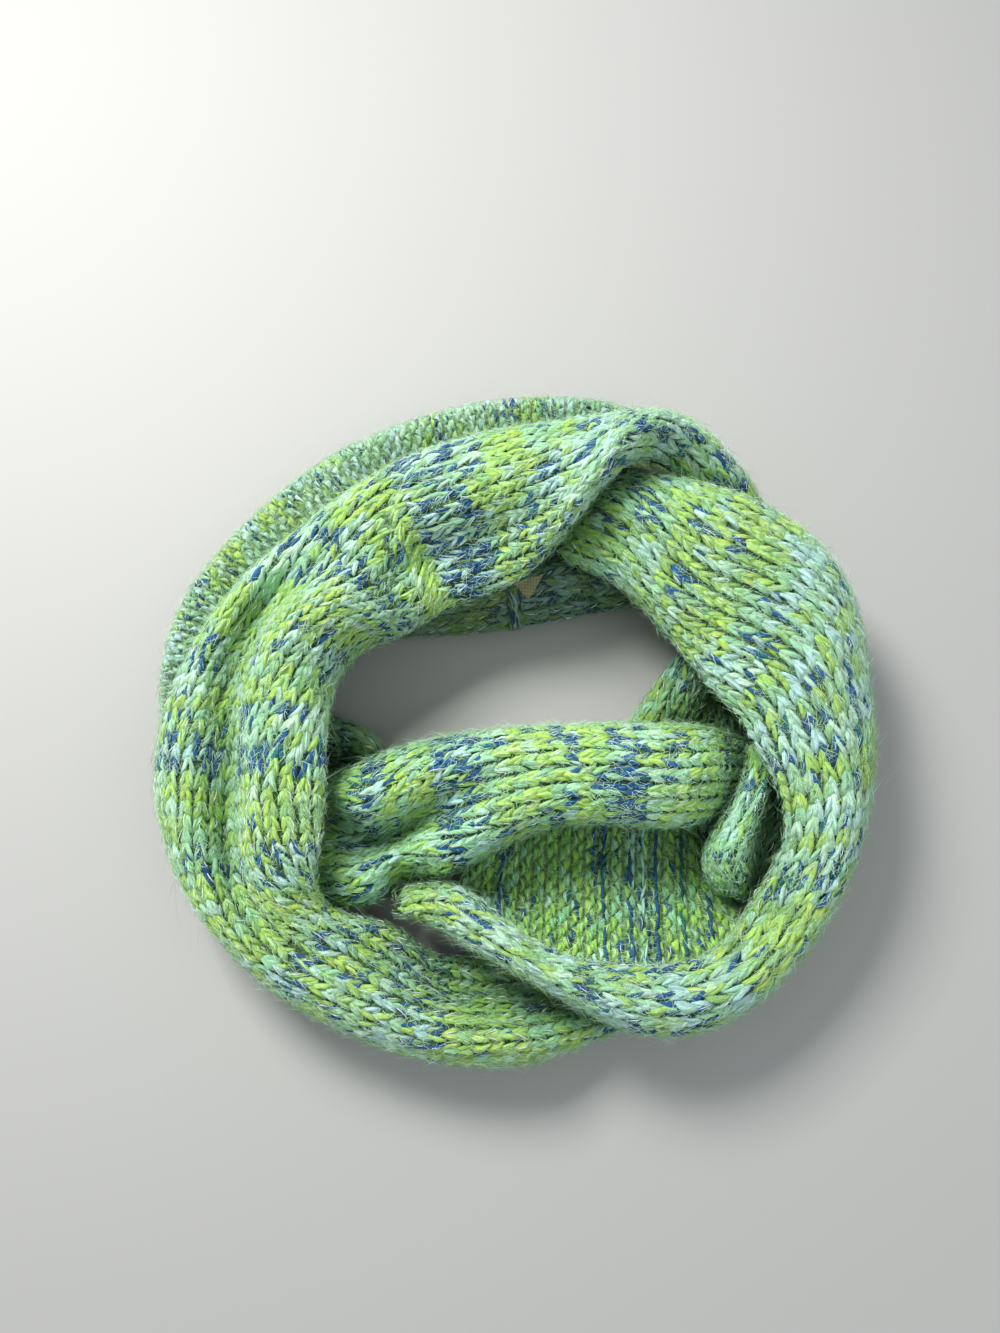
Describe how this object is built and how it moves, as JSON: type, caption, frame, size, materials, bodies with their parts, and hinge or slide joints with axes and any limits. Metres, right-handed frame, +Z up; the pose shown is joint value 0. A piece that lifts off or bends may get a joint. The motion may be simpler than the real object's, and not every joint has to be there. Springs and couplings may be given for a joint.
{
  "type": "infinity scarf",
  "caption": "Chunky knitted infinity scarf in marled striped yarn, wound double and lying flat in a loose coil with one strand across the middle.",
  "frame": {"origin": "middle of the whole in plan, on the surface that the scarf lies on", "axes": "+X to the right along the strand across the middle, +Y away from the front, +Z up"},
  "size_m": [0.314, 0.3039, 0.0826],
  "materials": {
    "hidden_yarn": "soft knit in shade",
    "left_yarn": "soft marled knit with a fuzzy halo",
    "right_yarn": "soft marled knit with a fuzzy halo",
    "across_yarn": "soft marled knit with a fuzzy halo",
    "outer_yarn": "soft marled knit, wrong side out",
    "inner_yarn": "soft marled knit in shade",
    "shade_yarn": "soft marled knit in shade",
    "hollow_yarn": "soft marled knit, wrong side up",
    "tongue_yarn": "soft marled knit",
    "fold_yarn": "soft marled knit",
    "seam_yarn": "soft twisted yarn",
    "tab_tape": "matt woven tape"
  },
  "bodies": {
    "root": {"hidden_layers": "hidden_yarn", "left_stretch": "left_yarn", "right_stretch": "right_yarn", "across_stretch": "across_yarn", "outer_back_stretch": "outer_yarn", "inner_back_stretch": "inner_yarn", "inner_right_stretch": "shade_yarn", "front_hollow": "hollow_yarn", "right_tongue": "tongue_yarn", "left_inner_fold": "fold_yarn", "end_seam": "seam_yarn", "sewn_tab": "tab_tape"}
  },
  "joints": []
}
